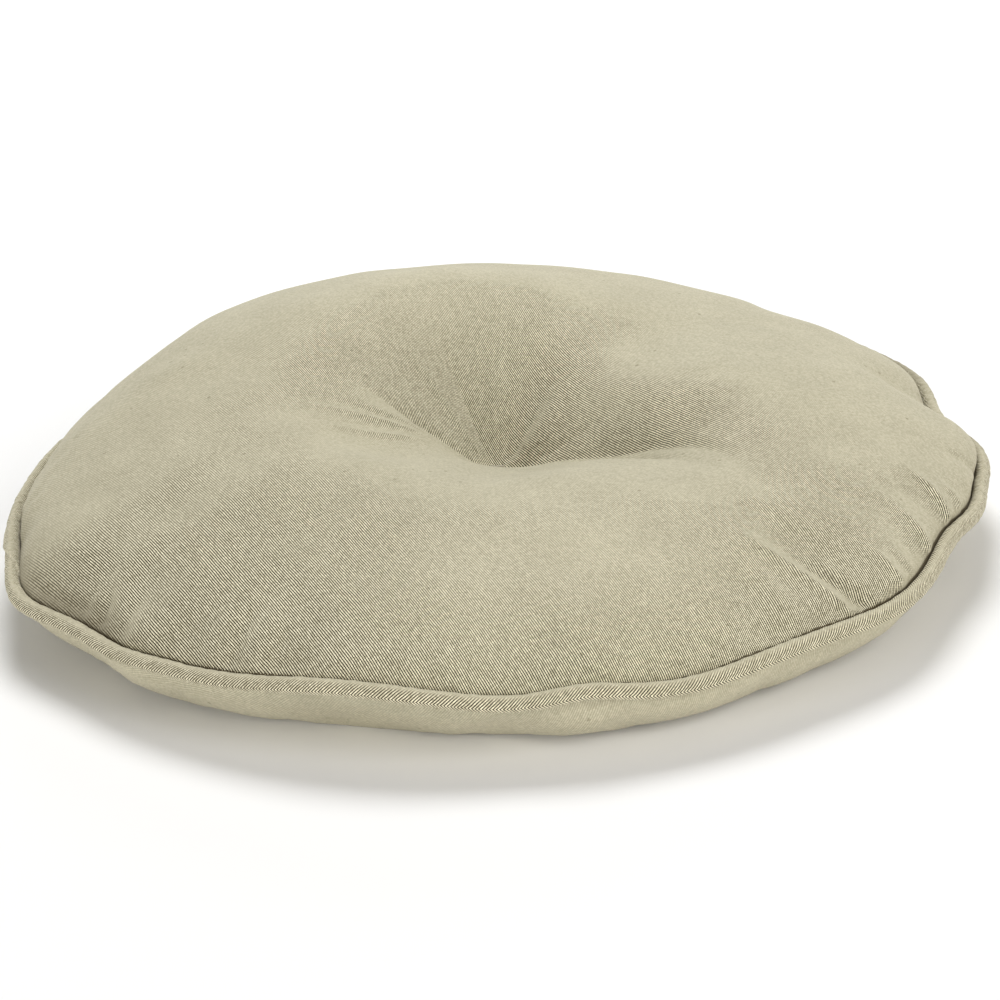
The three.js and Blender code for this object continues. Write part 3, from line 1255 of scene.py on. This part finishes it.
def weltPoints():
    turns, sides = welt["turns"], welt["sides"]
    bearing = np.arange(turns)[:, None] * 360 / turns
    around = np.arange(sides)[None] * 360 / sides
    thick = seam["cordRadius"] + sumAt(around, welt["section"], "rise") + ripple(bearing)
    thick = thick + lapRise(bearing, around)
    out = seam["radius"] + thick * np.cos(np.radians(around)) + sumAt(bearing, seam["waves"], "out")
    up = seam["height"] + thick * np.sin(np.radians(around)) + sumAt(bearing, seam["waves"], "lift")
    return pointsAt(out, up, bearing) + np.array(centre)


def addWeltMaps(mesh, turn, side):  # the same maps as on the panels
    along = np.stack([turn, turn + 1, turn + 1, turn], -1) / welt["turns"] * 2 * math.pi * seam["radius"]
    around = np.stack([side, side, side + 1, side + 1], -1) / welt["sides"] * 360
    bearing = along / seam["radius"] * 180 / math.pi
    # the cloth's lines meet at the fold, so they lean one way above it and the other way below
    fromFold = np.abs(turnFrom(welt["chevron"], around))
    addMap(mesh, "weave", along, np.radians(fromFold) * seam["cordRadius"])
    lap = welt["lap"]
    past = pastLap(bearing, around)
    light = lap["light"] * hump(past, lap["lightAt"], lap["lightWidth"])
    shadow = lap["shadow"] * hump(past, lap["shadowAt"], lap["shadowWidth"])
    smooth = np.minimum(1, sumAt(around, welt["smooth"], "rise"))
    addMap(mesh, "panel", smooth + light, farFromSeam + 0 * around)
    addMap(mesh, "sewing", along, 0 * along)
    addMap(mesh, "hollow", sumAt(bearing, welt["weltShade"], "dark") + shadow, 0 * along)


def makeWelt():
    turns, sides = welt["turns"], welt["sides"]
    turn, side = np.meshgrid(np.arange(turns), np.arange(sides), indexing="ij")
    nextTurn, nextSide = (turn + 1) % turns, (side + 1) % sides
    faces = np.stack([
        turn * sides + side,
        nextTurn * sides + side,
        nextTurn * sides + nextSide,
        turn * sides + nextSide,
    ], -1).reshape(-1, 4)
    mesh = smoothMesh("weltCord", weltPoints(), faces.tolist())
    addWeltMaps(mesh, turn, side)
    mesh.materials.append(clothMaterial("weltCloth", weltLook))
    cord = addObject("weltCord", mesh)
    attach(cord, "root")
    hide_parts("welt")
    print("Welt:", len(mesh.vertices), "points")


makeCamera()
makeStage()
makeCushion()
makeWelt()
